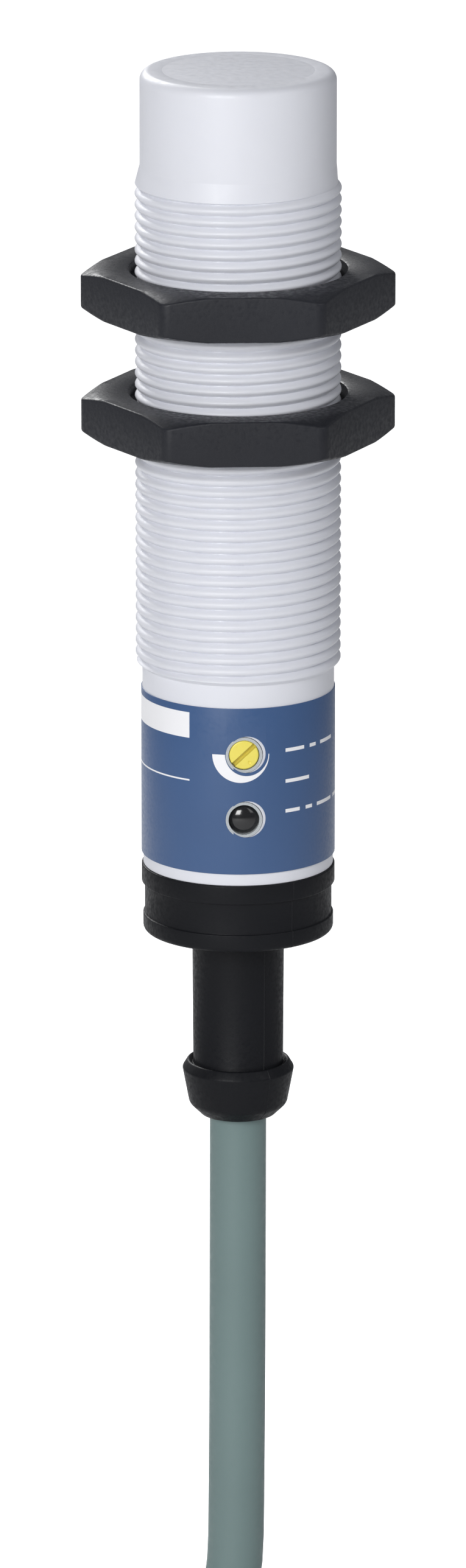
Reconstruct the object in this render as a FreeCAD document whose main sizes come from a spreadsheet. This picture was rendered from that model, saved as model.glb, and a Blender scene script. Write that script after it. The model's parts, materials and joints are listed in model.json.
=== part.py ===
"""M18 capacitive proximity sensor with a moulded cable, as a parametric FreeCAD document.

Frame: +Z runs along the barrel towards the sensing face, -Y is the side with the trimmer and the
light, and the origin is on the barrel's axis, midway between the two nuts, where the panel sits.
All lengths are millimetres.
"""
import FreeCAD, Part
import math
import os
import Sketcher
from FreeCAD import Placement, Rotation, Vector

doc = FreeCAD.newDocument("ProximitySensor")

# ---------------------------------------------------------------- driving dimensions

DIMENSIONS = {
    # barrel, from the sensing face downwards
    "face_height": 25.0,
    "nose_dia": 17.1,
    "nose_length": 8.3,
    "nose_edge": 0.8,
    "leadin_length": 1.7,
    "thread_dia": 18.0,
    "thread_pitch": 1.0,
    "thread_length": 43.0,
    "thread_depth": 0.525,
    "root_land": 0.15,
    "neck_dia": 16.85,
    "neck_length": 2.0,
    "label_length": 15.0,
    "label_dia": 17.03,
    "label_thick": 0.08,
    "ring_dia": 16.7,
    "ring_length": 1.1,
    "bore_dia": 14.6,
    "front_wall": 1.4,
    "window_rim": 0.55,
    # nuts
    "nut_width": 24.0,
    "nut_height": 4.0,
    "nut_gap": 7.0,
    "nut_land_extra": 0.25,
    "nut_corner_drop": 0.62,
    "nut_clearance": 0.06,
    "nut_mouth_width": 0.65,
    # sensing face and electrodes
    "fit_gap": 0.05,
    "flange_thick": 1.0,
    "electrode_dia": 9.0,
    "guard_hole_dia": 10.6,
    "guard_side_gap": 0.5,
    "electrode_thick": 0.2,
    "carrier_plate": 1.0,
    "carrier_skirt": 4.0,
    "carrier_wall": 0.8,
    "pin_dia": 0.6,
    # circuit board
    "board_side_gap": 1.1,
    "board_thick": 1.0,
    "board_back": 0.4,
    "board_top_gap": 0.2,
    "board_foot_gap": 0.2,
    # trimmer and light
    "trimmer_drop": 4.2,
    "light_spacing": 5.85,
    "bush_wall": 0.25,
    "bush_flange_width": 0.55,
    "bush_flange_thick": 0.5,
    "knob_dia": 2.6,
    "knob_recess": 0.12,
    "knob_length": 1.8,
    "spindle_dia": 1.6,
    "slot_width": 0.45,
    "slot_depth": 0.6,
    "slot_angle": 43.0,
    "trimmer_size": 4.0,
    "trimmer_thick": 2.2,
    "wiper_dia": 2.8,
    "wiper_thick": 0.5,
    "led_height": 0.8,
    "led_width": 2.0,
    "led_length": 1.25,
    # chips, each with its drop from the board's upper end or its rise from the trimmer
    "control_side": 5.0,
    "control_height": 1.4,
    "control_drop": 30.2,
    "oscillator_width": 2.9,
    "oscillator_length": 1.5,
    "oscillator_height": 1.1,
    "oscillator_drop": 10.2,
    "output_width": 3.6,
    "output_length": 6.5,
    "output_height": 1.6,
    "output_rise": 12.2,
    "diode_width": 2.7,
    "diode_length": 4.4,
    "diode_height": 2.0,
    "diode_rise": 3.2,
    "resistor_width": 1.25,
    "resistor_length": 2.0,
    "resistor_height": 0.55,
    "resistor_offset": 4.2,
    "resistor_drop": 15.2,
    "resistor_step": 4.5,
    "capacitor_width": 1.6,
    "capacitor_length": 3.2,
    "capacitor_height": 1.2,
    "capacitor_offset": 4.0,
    "capacitor_drop": 11.2,
    "capacitor_step": 7.0,
    # rear cap, from the barrel's end downwards
    "rib_dia": 17.0,
    "rib_length": 1.7,
    "waist_dia": 16.45,
    "waist_length": 2.8,
    "skirt_dia": 16.75,
    "skirt_length": 1.6,
    "skirt_edge": 0.4,
    "plug_gap": 0.1,
    "plug_length": 3.6,
    "cap_wall": 1.2,
    "cap_floor": 1.3,
    "seal_groove_width": 1.1,
    "seal_section_dia": 0.96,
    "nozzle_top_dia": 8.1,
    "nozzle_dia": 7.95,
    "nozzle_length": 11.8,
    "collar_dia": 9.87,
    "collar_lip": 1.2,
    "collar_end_dia": 8.66,
    "collar_taper": 3.0,
    "collar_round": 1.0,
    # cable
    "cable_dia": 5.0,
    "cable_gap": 0.1,
    "grommet_dia": 6.4,
    "grommet_length": 3.0,
    "crimp_dia": 6.6,
    "crimp_length": 4.0,
    "core_dia": 1.3,
    "core_spacing": 1.45,
    "core_overlap": 2.4,
    "potting_recess": 0.15,
    # put-away coil of the cable
    "coil_mid_dia": 55.0,
    "coil_width": 15.0,
    "coil_depth": 20.0,
    "coil_round": 2.2,
    "coil_drop": 157.0,
    "tie_gap": 0.3,
    "tie_thick": 0.8,
    "tie_width": 6.0,
    "tail_length": 16.0,
    "tail_core_length": 24.0,
    "tail_tip_length": 5.0,
    "tail_tip_dia": 0.7,
}

sheet = doc.addObject("Spreadsheet::Sheet", "dims")
for row, (alias, size) in enumerate(DIMENSIONS.items(), start=1):
    sheet.set(f"A{row}", alias)
    sheet.set(f"B{row}", str(size))
    sheet.setAlias(f"B{row}", alias)
doc.recompute()


def size(alias):
    """A driving dimension's number, for the shapes that are made by code."""
    return float(sheet.get(alias))


# ---------------------------------------------------------------- heights worked out from the sheet

FACE = "dims.face_height"
SHOULDER = f"({FACE} - dims.front_wall)"
FLANGE_BACK = f"({SHOULDER} - dims.flange_thick)"
CARRIER_TOP = f"({FLANGE_BACK} - dims.electrode_thick)"
CARRIER_FLOOR = f"({CARRIER_TOP} - dims.carrier_plate)"
NOSE_END = f"({FACE} - dims.nose_length)"
THREAD_TOP = f"({NOSE_END} - dims.leadin_length)"
THREAD_END = f"({THREAD_TOP} - dims.thread_length)"
LABEL_TOP = f"({THREAD_END} - dims.neck_length)"
LABEL_END = f"({LABEL_TOP} - dims.label_length)"
BARREL_END = f"({LABEL_END} - dims.ring_length)"
PLUG_TOP = f"({BARREL_END} + dims.plug_length)"
RIB_END = f"({BARREL_END} - dims.rib_length)"
WAIST_END = f"({RIB_END} - dims.waist_length)"
CAP_END = f"({WAIST_END} - dims.skirt_length)"
CAVITY_FLOOR = f"({CAP_END} + dims.cap_floor)"
NOZZLE_END = f"({CAP_END} - dims.nozzle_length)"
COLLAR_LIP = f"({NOZZLE_END} - dims.collar_lip)"
COLLAR_TAPER_END = f"({COLLAR_LIP} - dims.collar_taper)"
COLLAR_END = f"({COLLAR_TAPER_END} - dims.collar_round)"
JACKET_TOP = f"({CAVITY_FLOOR} + dims.crimp_length)"
BOARD_TOP = f"({CARRIER_FLOOR} - dims.board_top_gap)"
BOARD_FOOT = f"({PLUG_TOP} + dims.board_foot_gap)"
BOARD_FRONT = "(dims.board_back - dims.board_thick)"
CORE_TOP = f"({BOARD_FOOT} + dims.core_overlap)"
LABEL_SEAT = "(dims.label_dia / 2 - dims.label_thick)"
TRIMMER_HEIGHT = f"({LABEL_TOP} - dims.trimmer_drop)"
LIGHT_HEIGHT = f"({TRIMMER_HEIGHT} - dims.light_spacing)"
BORE_RADIUS = "(dims.bore_dia / 2)"
KNOB_FACE = "(dims.label_dia / 2 - dims.knob_recess)"
KNOB_BACK = f"({KNOB_FACE} - dims.knob_length)"
BUSH_BORE_RADIUS = "(dims.knob_dia / 2 + dims.fit_gap)"
PORT_RADIUS = f"({BUSH_BORE_RADIUS} + dims.bush_wall + dims.fit_gap)"
BUSH_FLANGE_RADIUS = f"({PORT_RADIUS} + dims.bush_flange_width)"
FLANGE_SEAT = f"(sqrt(pow(dims.bore_dia / 2; 2) - pow({BUSH_FLANGE_RADIUS}; 2)) - dims.fit_gap)"
WINDOW_RADIUS = "(dims.bore_dia / 2 - dims.window_rim)"
GUARD_RADIUS = "(dims.bore_dia / 2 - dims.guard_side_gap)"
PLUG_RADIUS = "(dims.bore_dia / 2 - dims.plug_gap)"
CAVITY_RADIUS = f"({PLUG_RADIUS} - dims.cap_wall)"
TRIMMER_TOP = f"(dims.trimmer_thick - {BOARD_FRONT})"
SEAL_HEIGHT = f"({BARREL_END} + dims.plug_length / 2)"

# ---------------------------------------------------------------- ways of making a sub-part

NODES = []


def node(obj, label):
    """Name a finished sub-part, which is written to a file of that name."""
    obj.Label = label
    NODES.append(obj)
    return obj


def bind(obj, **expressions):
    """Bind properties to the sheet; an underscore pair stands for a dot in a property's path."""
    for path, expression in expressions.items():
        obj.setExpression(path.replace("__", "."), expression)
    return obj


def new(kind, name, **expressions):
    return bind(doc.addObject(kind, name), **expressions)


def outline(sketch, points):
    """Draw a closed outline whose corners are pairs of expressions, each corner fully fixed."""
    count = len(points)
    start = [Vector(math.cos(2 * math.pi * i / count), math.sin(2 * math.pi * i / count), 0)
             for i in range(count)]
    for i in range(count):
        sketch.addGeometry(Part.LineSegment(start[i], start[(i + 1) % count]))
    for i in range(count):
        sketch.addConstraint(Sketcher.Constraint("Coincident", i, 2, (i + 1) % count, 1))
    for i, (across, along) in enumerate(points):
        for kind, value, axis, guess in (("DistanceX", across, -2, start[i].x),
                                         ("DistanceY", along, -1, start[i].y)):
            if value == "0":
                sketch.addConstraint(Sketcher.Constraint("PointOnObject", i, 1, axis))
                continue
            fixed = sketch.addConstraint(Sketcher.Constraint(kind, -1, 1, i, 1, guess + 1e-3))
            sketch.setExpression(f"Constraints[{fixed}]", value)


def body_sketch(body, plane, name, points):
    """An outline on one of a body's own origin planes."""
    sketch = body.newObject("Sketcher::SketchObject", name)
    origin_plane = [f for f in body.Origin.OriginFeatures if f.Role == plane][0]
    sketch.AttachmentSupport = [(origin_plane, "")]
    sketch.MapMode = "FlatFace"
    outline(sketch, points)
    return sketch


def turned(name, points):
    """A body turned about its own Z axis from an outline of (radius, height) corners."""
    body = doc.addObject("PartDesign::Body", name)
    sketch = body_sketch(body, "XZ_Plane", f"{name}_outline", points)
    turn = body.newObject("PartDesign::Revolution", f"{name}_turn")
    turn.Profile = sketch
    turn.ReferenceAxis = (sketch, ["V_Axis"])
    turn.Angle = 360.0
    sketch.Visibility = False
    body.Tip = turn
    return body


def tube_points(inner, outer, low, high):
    """The outline of a plain ring or, where inner is 0, of a disc."""
    return [(inner, low), (outer, low), (outer, high), (inner, high)]


def facing_front(obj, height):
    """Turn a piece so that its own Z axis points to -Y, at a height on the barrel's axis."""
    obj.Placement = Placement(Vector(0, 0, 0), Rotation(Vector(1, 0, 0), 90))
    obj.setExpression("Placement.Base.z", height)
    return obj


def boxed(name, wide, deep, tall, x, y, z):
    """A box of width along X, depth along Y and height along Z, from its lowest corner."""
    return new("Part::Box", name, Length=wide, Width=deep, Height=tall,
               Placement__Base__x=x, Placement__Base__y=y, Placement__Base__z=z)


def rod(name, radius, x, y, low, high):
    return new("Part::Cylinder", name, Radius=radius, Height=f"{high} - {low}",
               Placement__Base__x=x, Placement__Base__y=y, Placement__Base__z=low)


def cut(name, base, tool):
    result = doc.addObject("Part::Cut", name)
    result.Base = base
    result.Tool = tool
    return result


def fused(name, pieces):
    result = doc.addObject("Part::MultiFuse", name)
    result.Shapes = pieces
    return result


def group(name, pieces):
    result = doc.addObject("Part::Compound", name)
    result.Links = pieces
    return result


def rounded(body, radius, edge_test):
    """Round the edges of a body that pass a test, after its last feature."""
    doc.recompute()
    tip = body.Tip
    names = [f"Edge{i}" for i, edge in enumerate(tip.Shape.Edges, start=1) if edge_test(edge)]
    fillet = body.newObject("PartDesign::Fillet", f"{body.Name}_round")
    fillet.Base = (tip, names)
    fillet.setExpression("Radius", radius)
    body.Tip = fillet
    return body


def ring_edge(radius, height):
    """A test for a circular edge about the body's axis, of a radius and at a height."""
    def test(edge):
        curve = edge.Curve
        return (curve.TypeId == "Part::GeomCircle" and abs(curve.Radius - radius) < 1e-4
                and abs(curve.Center.z - height) < 1e-4)
    return test


def helical_groove(name, points, base, turns):
    """A solid swept up a right-hand helix about Z, from an outline of (radius, height) corners."""
    helix = new("Part::Helix", f"{name}_path", Pitch="dims.thread_pitch",
                Height=f"{turns} * dims.thread_pitch",
                Radius="dims.thread_dia / 2", Placement__Base__z=base)
    helix.Placement.Rotation = Rotation(Vector(0, 0, 1), 90)
    sketch = doc.addObject("Sketcher::SketchObject", f"{name}_outline")
    outline(sketch, points)
    sketch.Placement = Placement(Vector(0, 0, 0), Rotation(Vector(0, 0, 1), 90)
                                 .multiply(Rotation(Vector(1, 0, 0), 90)))
    sketch.setExpression("Placement.Base.z", base)
    sweep = doc.addObject("Part::Sweep", name)
    sweep.Sections = [sketch]
    sweep.Spine = (helix, ["Edge1"])
    sweep.Solid = True
    sweep.Frenet = True
    return sweep


def threaded(name, blank, points, base, turns):
    """Cut a helical groove of a number of turns, in stretches short enough to cut cleanly."""
    done = 0
    while done < turns:
        stretch = min(STRETCH_TURNS, turns - done)
        foot = f"({base} + {done} * dims.thread_pitch)"
        groove = helical_groove(f"{name}_groove_{done}", points, foot, stretch)
        blank = cut(f"{name}_thread_{done}", blank, groove)
        done += stretch
    return blank


# ---------------------------------------------------------------- barrel

HELIX_BASE = f"({THREAD_END} - 0.6 * dims.thread_pitch)"
STRETCH_TURNS = 10
FLANK = "tan(30)"
RIDGE_OUT = "(dims.thread_dia / 2 + 0.15)"
ROOT_RADIUS = "(dims.thread_dia / 2 - dims.thread_depth)"


def groove_half_width(radius):
    """Half the width of the barrel's thread groove at a radius."""
    return f"(dims.root_land / 2 + ({radius} - {ROOT_RADIUS}) * {FLANK})"


def front_hole(name, height):
    hole = new("Part::Cylinder", name, Radius=PORT_RADIUS, Height="dims.thread_dia / 2 + 1")
    return facing_front(hole, height)


def barrel():
    blank = turned("barrel_blank", [
        (WINDOW_RADIUS, FACE),
        ("dims.nose_dia / 2", FACE),
        ("dims.nose_dia / 2", NOSE_END),
        ("dims.thread_dia / 2", THREAD_TOP),
        ("dims.thread_dia / 2", f"{THREAD_END} + 0.4 * dims.thread_pitch"),
        ("dims.neck_dia / 2", THREAD_END),
        ("dims.neck_dia / 2", LABEL_TOP),
        (LABEL_SEAT, LABEL_TOP),
        (LABEL_SEAT, LABEL_END),
        ("dims.ring_dia / 2", LABEL_END),
        ("dims.ring_dia / 2", BARREL_END),
        (BORE_RADIUS, BARREL_END),
        (BORE_RADIUS, SHOULDER),
        (WINDOW_RADIUS, SHOULDER),
    ])
    rounded(blank, "dims.nose_edge", ring_edge(size("nose_dia") / 2, size("face_height")))
    ports = fused("barrel_ports", [front_hole("barrel_trimmer_port", TRIMMER_HEIGHT),
                                   front_hole("barrel_light_port", LIGHT_HEIGHT)])
    turns = math.floor(size("thread_length") / size("thread_pitch"))
    bored = cut("barrel_bored", blank, ports)
    node(threaded("barrel", bored, [
        (ROOT_RADIUS, f"-{groove_half_width(ROOT_RADIUS)}"),
        (RIDGE_OUT, f"-{groove_half_width(RIDGE_OUT)}"),
        (RIDGE_OUT, groove_half_width(RIDGE_OUT)),
        (ROOT_RADIUS, groove_half_width(ROOT_RADIUS)),
    ], HELIX_BASE, turns), "barrel")


def label():
    sleeve = turned("label_blank", tube_points(LABEL_SEAT, "dims.label_dia / 2", LABEL_END, LABEL_TOP))
    ports = fused("label_ports", [front_hole("label_trimmer_port", TRIMMER_HEIGHT),
                                  front_hole("label_light_port", LIGHT_HEIGHT)])
    node(cut("label_cut", sleeve, ports), "label_sleeve")


# ---------------------------------------------------------------- nuts

def nut(name, foot, turn_angle):
    """A hexagon nut with cut corners and countersunk mouths, bored to run over the thread's crests."""
    top = f"({foot} + dims.nut_height)"
    prism = new("Part::Prism", f"{name}_hexagon", Circumradius="dims.nut_width / 2 / cos(30)",
                Height="dims.nut_height", Placement__Base__z=foot)
    prism.Polygon = 6
    prism.Placement.Rotation = Rotation(Vector(0, 0, 1), turn_angle)
    corner = "(dims.nut_width / 2 / cos(30))"
    land = "(dims.nut_width / 2 + dims.nut_land_extra)"
    fall = f"(dims.nut_corner_drop * (1 + 1 / ({corner} - {land})))"
    envelope = turned(f"{name}_envelope", [
        ("0", foot), (land, foot), (f"{corner} + 1", f"{foot} + {fall}"),
        (f"{corner} + 1", f"{top} - {fall}"), (land, top), ("0", top)])
    shaped = doc.addObject("Part::Common", f"{name}_shaped")
    shaped.Base = prism
    shaped.Tool = envelope
    mouth = "(dims.thread_dia / 2 + dims.nut_mouth_width)"
    bore_radius = "(dims.thread_dia / 2 + dims.nut_clearance)"
    step = f"({mouth} - {bore_radius})"
    bore = turned(f"{name}_bore", [
        ("0", f"{foot} - 1"), (f"{mouth} + 1", f"{foot} - 1"), (bore_radius, f"{foot} + {step}"),
        (bore_radius, f"{top} - {step}"), (f"{mouth} + 1", f"{top} + 1"), ("0", f"{top} + 1")])
    node(cut(f"{name}_bored", shaped, bore), name)


# ---------------------------------------------------------------- sensing end

def sensing_end():
    pin_radius = "(dims.pin_dia / 2)"
    pin_y = f"({BOARD_FRONT} - {pin_radius})"
    guard_x = f"(-(dims.guard_hole_dia / 2 + {GUARD_RADIUS}) / 2)"
    spigot = f"({WINDOW_RADIUS} - dims.fit_gap)"
    flange = f"({BORE_RADIUS} - dims.fit_gap)"
    node(turned("face_disc_turned", [
        ("0", FACE), (spigot, FACE), (spigot, SHOULDER), (flange, SHOULDER),
        (flange, FLANGE_BACK), ("0", FLANGE_BACK)]), "face_disc")
    node(turned("electrode_turned",
                tube_points("0", "dims.electrode_dia / 2", CARRIER_TOP, FLANGE_BACK)), "sensing_electrode")
    node(turned("guard_turned", tube_points("dims.guard_hole_dia / 2", GUARD_RADIUS,
                                            CARRIER_TOP, FLANGE_BACK)), "guard_electrode")
    skirt_end = f"({CARRIER_FLOOR} - dims.carrier_skirt)"
    skirt_bore = f"({flange} - dims.carrier_wall)"
    cup = turned("carrier_cup", [
        ("0", CARRIER_TOP), (flange, CARRIER_TOP), (flange, skirt_end), (skirt_bore, skirt_end),
        (skirt_bore, CARRIER_FLOOR), ("0", CARRIER_FLOOR)])
    hole_radius = f"{pin_radius} + dims.fit_gap / 2"
    holes = fused("carrier_holes", [
        rod("carrier_hole_mid", hole_radius, "0", pin_y, f"({CARRIER_FLOOR} - 1)", f"({CARRIER_TOP} + 1)"),
        rod("carrier_hole_side", hole_radius, guard_x, pin_y, f"({CARRIER_FLOOR} - 1)",
            f"({CARRIER_TOP} + 1)")])
    node(cut("carrier_cut", cup, holes), "electrode_carrier")
    pin_foot = f"({BOARD_TOP} - 2)"
    node(rod("electrode_pin_rod", pin_radius, "0", pin_y, pin_foot, CARRIER_TOP), "electrode_pin")
    node(rod("guard_pin_rod", pin_radius, guard_x, pin_y, pin_foot, CARRIER_TOP), "guard_pin")


# ---------------------------------------------------------------- circuit board and what is on it

def chip(name, wide, tall, deep, x, height, back=False):
    """A component's box lying on the board, centred at x and at a height."""
    y = "dims.board_back" if back else f"{BOARD_FRONT} - {deep}"
    return boxed(name, wide, deep, tall, f"{x} - {wide} / 2", y, f"{height} - {tall} / 2")


def chip_pairs(kind, rows, back=False):
    """Rows of small chips down the board, one at each side of its middle."""
    chips = []
    for row in range(rows):
        for side, sign in (("left", "-"), ("right", "")):
            chips.append(chip(f"{kind}_{side}_{row}", f"dims.{kind}_width", f"dims.{kind}_length",
                              f"dims.{kind}_height", f"{sign}dims.{kind}_offset",
                              f"{BOARD_TOP} - dims.{kind}_drop - {row} * dims.{kind}_step", back))
    return chips


def circuit():
    half_width = f"({BORE_RADIUS} - dims.board_side_gap)"
    node(boxed("board_box", f"2 * {half_width}", "dims.board_thick", f"{BOARD_TOP} - {BOARD_FOOT}",
               f"-{half_width}", BOARD_FRONT, BOARD_FOOT), "circuit_board")
    node(chip("control_box", "dims.control_side", "dims.control_side", "dims.control_height", "0",
              f"{BOARD_TOP} - dims.control_drop"), "control_chip")
    node(chip("oscillator_box", "dims.oscillator_width", "dims.oscillator_length", "dims.oscillator_height",
              "0", f"{BOARD_TOP} - dims.oscillator_drop"), "oscillator_transistor")
    node(chip("output_box", "dims.output_width", "dims.output_length", "dims.output_height", "0",
              f"{TRIMMER_HEIGHT} + dims.output_rise", back=True), "output_transistor")
    node(chip("diode_box", "dims.diode_width", "dims.diode_length", "dims.diode_height", "0",
              f"{TRIMMER_HEIGHT} + dims.diode_rise", back=True), "protection_diode")
    node(group("resistor_group", chip_pairs("resistor", 4)), "chip_resistors")
    node(group("capacitor_group", chip_pairs("capacitor", 3, back=True)), "chip_capacitors")


# ---------------------------------------------------------------- trimmer and light

def bush(name, height, label):
    """A clear bush in a port, with its flange against the inside of the barrel."""
    bush_radius = f"({PORT_RADIUS} - dims.fit_gap)"
    flange_back = f"({FLANGE_SEAT} - dims.bush_flange_thick)"
    face = "(dims.label_dia / 2 - dims.fit_gap)"
    body = turned(name, [
        (BUSH_BORE_RADIUS, flange_back), (BUSH_FLANGE_RADIUS, flange_back),
        (BUSH_FLANGE_RADIUS, FLANGE_SEAT), (bush_radius, FLANGE_SEAT),
        (bush_radius, face), (BUSH_BORE_RADIUS, face)])
    node(facing_front(body, height), label)


def trimmer():
    bush("trimmer_bush_turned", TRIMMER_HEIGHT, "trimmer_bush")
    wiper_top = f"({TRIMMER_TOP} + dims.fit_gap + dims.wiper_thick)"
    knob = turned("knob_turned", [
        ("0", wiper_top), ("dims.spindle_dia / 2", wiper_top), ("dims.spindle_dia / 2", KNOB_BACK),
        ("dims.knob_dia / 2", KNOB_BACK), ("dims.knob_dia / 2", KNOB_FACE), ("0", KNOB_FACE)])
    facing_front(knob, TRIMMER_HEIGHT)
    slot = boxed("knob_slot", "dims.knob_dia + 1", "dims.slot_depth", "dims.slot_width",
                 "-(dims.knob_dia + 1) / 2", f"-{KNOB_FACE}", "-dims.slot_width / 2")
    tilted = doc.addObject("Part::Compound", "knob_slot_tilted")
    tilted.Links = [slot]
    tilted.Placement.Rotation = Rotation(Vector(0, -1, 0), size("slot_angle"))
    tilted.setExpression("Placement.Base.z", TRIMMER_HEIGHT)
    node(cut("knob_slotted", knob, tilted), "trimmer_knob")
    wiper = turned("wiper_turned", tube_points("0", "dims.wiper_dia / 2",
                                               f"({TRIMMER_TOP} + dims.fit_gap)", wiper_top))
    node(facing_front(wiper, TRIMMER_HEIGHT), "trimmer_wiper")
    node(chip("trimmer_box", "dims.trimmer_size", "dims.trimmer_size", "dims.trimmer_thick", "0",
              TRIMMER_HEIGHT), "trimmer_base")


def light():
    bush("light_bush_turned", LIGHT_HEIGHT, "light_bush")
    guide_back = f"(dims.led_height - {BOARD_FRONT} + dims.fit_gap)"
    guide = turned("guide_turned", tube_points("0", "dims.knob_dia / 2", guide_back, "dims.label_dia / 2"))
    rounded(guide, "dims.knob_dia * 0.35", ring_edge(size("knob_dia") / 2, size("label_dia") / 2))
    node(facing_front(guide, LIGHT_HEIGHT), "light_guide")
    node(chip("led_box", "dims.led_width", "dims.led_length", "dims.led_height", "0", LIGHT_HEIGHT),
         "led_chip")


# ---------------------------------------------------------------- rear cap

def rear_cap():
    groove_low = f"({SEAL_HEIGHT} - dims.seal_groove_width / 2)"
    groove_high = f"({SEAL_HEIGHT} + dims.seal_groove_width / 2)"
    groove_radius = f"({BORE_RADIUS} - dims.seal_section_dia - 2 * dims.fit_gap)"
    cable_hole = "(dims.cable_dia / 2 + dims.cable_gap)"
    body = turned("rear_cap_turned", [
        (CAVITY_RADIUS, PLUG_TOP), (PLUG_RADIUS, PLUG_TOP),
        (PLUG_RADIUS, groove_high), (groove_radius, groove_high),
        (groove_radius, groove_low), (PLUG_RADIUS, groove_low),
        (PLUG_RADIUS, BARREL_END), ("dims.rib_dia / 2", BARREL_END),
        ("dims.rib_dia / 2", RIB_END), ("dims.waist_dia / 2", RIB_END),
        ("dims.waist_dia / 2", WAIST_END), ("dims.skirt_dia / 2", WAIST_END),
        ("dims.skirt_dia / 2", CAP_END), ("dims.nozzle_top_dia / 2", CAP_END),
        ("dims.nozzle_dia / 2", NOZZLE_END), ("dims.nozzle_dia / 2 + 0.3", NOZZLE_END),
        ("dims.collar_dia / 2", COLLAR_LIP), ("dims.collar_end_dia / 2", COLLAR_TAPER_END),
        ("dims.collar_end_dia / 2 - dims.collar_round", COLLAR_END),
        ("dims.grommet_dia / 2", COLLAR_END), ("dims.grommet_dia / 2", f"{COLLAR_END} + dims.grommet_length"),
        (cable_hole, f"{COLLAR_END} + dims.grommet_length"), (cable_hole, CAVITY_FLOOR),
        (CAVITY_RADIUS, CAVITY_FLOOR)])
    skirt = ring_edge(size("skirt_dia") / 2, cap_end())
    rounded(body, "dims.skirt_edge", skirt)
    node(body, "rear_cap")
    seal = new("Part::Torus", "seal_torus", Radius1=f"{BORE_RADIUS} - dims.seal_section_dia / 2 - dims.fit_gap",
               Radius2="dims.seal_section_dia / 2", Placement__Base__z=SEAL_HEIGHT)
    node(seal, "cap_seal")
    node(turned("grommet_turned", tube_points(
        f"({cable_hole} - dims.cable_gap / 2)", "(dims.grommet_dia / 2 - dims.fit_gap)", COLLAR_END,
        f"({COLLAR_END} + dims.grommet_length)")), "cable_grommet")
    node(turned("crimp_turned", tube_points(
        "(dims.cable_dia / 2 + dims.fit_gap)", "dims.crimp_dia / 2", CAVITY_FLOOR, JACKET_TOP)),
         "cable_crimp")


def cap_end():
    """The height of the cap's lower face."""
    below = sum(size(part) for part in ("nose_length", "leadin_length", "thread_length", "neck_length",
                                        "label_length", "ring_length", "rib_length", "waist_length",
                                        "skirt_length"))
    return size("face_height") - below


# ---------------------------------------------------------------- cores inside the cap

CORES = {"brown": -1, "black": 0, "blue": 1}


def cores():
    core_y = "(dims.board_back + dims.core_dia / 2)"
    potting_low = f"({JACKET_TOP} + dims.fit_gap)"
    potting_top = f"({PLUG_TOP} - dims.potting_recess)"
    holes = []
    joints = []
    for colour, side in CORES.items():
        x = f"({side} * dims.core_spacing)"
        node(rod(f"core_{colour}_rod", "dims.core_dia / 2", x, core_y, JACKET_TOP, CORE_TOP),
             f"core_{colour}")
        holes.append(rod(f"potting_hole_{colour}", "dims.core_dia / 2 + dims.fit_gap / 2", x, core_y,
                         f"({potting_low} - 1)", f"({potting_top} + 1)"))
        bead = new("Part::Cone", f"bead_{colour}", Radius1="dims.core_dia / 2", Radius2="dims.core_dia / 4",
                   Height="dims.core_dia", Placement__Base__x=x, Placement__Base__y=core_y,
                   Placement__Base__z=CORE_TOP)
        joints.append(bead)
    node(group("solder_group", joints), "solder_joints")
    block = turned("potting_turned", tube_points("0", f"({CAVITY_RADIUS} - dims.fit_gap)", potting_low,
                                                 potting_top))
    node(cut("potting_cut", block, fused("potting_holes", holes)), "potting_plug")


# ---------------------------------------------------------------- free cable

def cable_route():
    """The free cable's points: straight out of the nozzle, then in a slow bend on to the coil's side."""
    return [Vector(0.0, 0.0, cap_end() + size("cap_floor") + size("crimp_length")),
            Vector(0.0, 0.0, -71.0),
            Vector(-0.1, 0.0, -102.0),
            Vector(-0.3, 0.0, -116.0),
            Vector(-6.5, 0.0, -129.0),
            Vector(-18.5, 0.0, -139.0),
            Vector(-27.5, 0.0, -152.0)]


def rounded_path(points):
    """Straight runs joined by tangent arcs, each as large as its two runs allow."""
    edges = []
    start = points[0]
    for before, corner, after in zip(points, points[1:], points[2:]):
        to_before = (before - corner).normalize()
        to_after = (after - corner).normalize()
        setback = 0.45 * min(before.distanceToPoint(corner), after.distanceToPoint(corner))
        half_turn = (math.pi - to_before.getAngle(to_after)) / 2
        radius = setback / math.tan(half_turn)
        inward = (to_before + to_after).normalize()
        arc_start = corner + to_before * setback
        arc_end = corner + to_after * setback
        middle = corner + inward * (radius / math.cos(half_turn) - radius)
        print(f"cable bend radius {radius:.1f}")
        edges.append(Part.LineSegment(start, arc_start).toShape())
        edges.append(Part.Arc(arc_start, middle, arc_end).toShape())
        start = arc_end
    edges.append(Part.LineSegment(start, points[-1]).toShape())
    return Part.Wire(edges)


def shape_node(name, shape, label):
    """A sub-part whose shape is made by code."""
    feature = doc.addObject("Part::Feature", name)
    feature.Shape = shape
    return node(feature, label)


def cable():
    route = cable_route()
    path = rounded_path(route)
    radius = size("cable_dia") / 2
    section = Part.Wire(Part.makeCircle(radius, route[0], route[1] - route[0]))
    tube = path.makePipeShell([section], True, False)
    wanted = math.pi * radius ** 2 * path.Length
    if abs(tube.Volume / wanted - 1) > 0.001:
        raise RuntimeError("the cable's volume differs from its section times its length")
    shape_node("cable_shape", tube, "cable_tube")


COIL_Z = "(-dims.coil_drop)"


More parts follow.
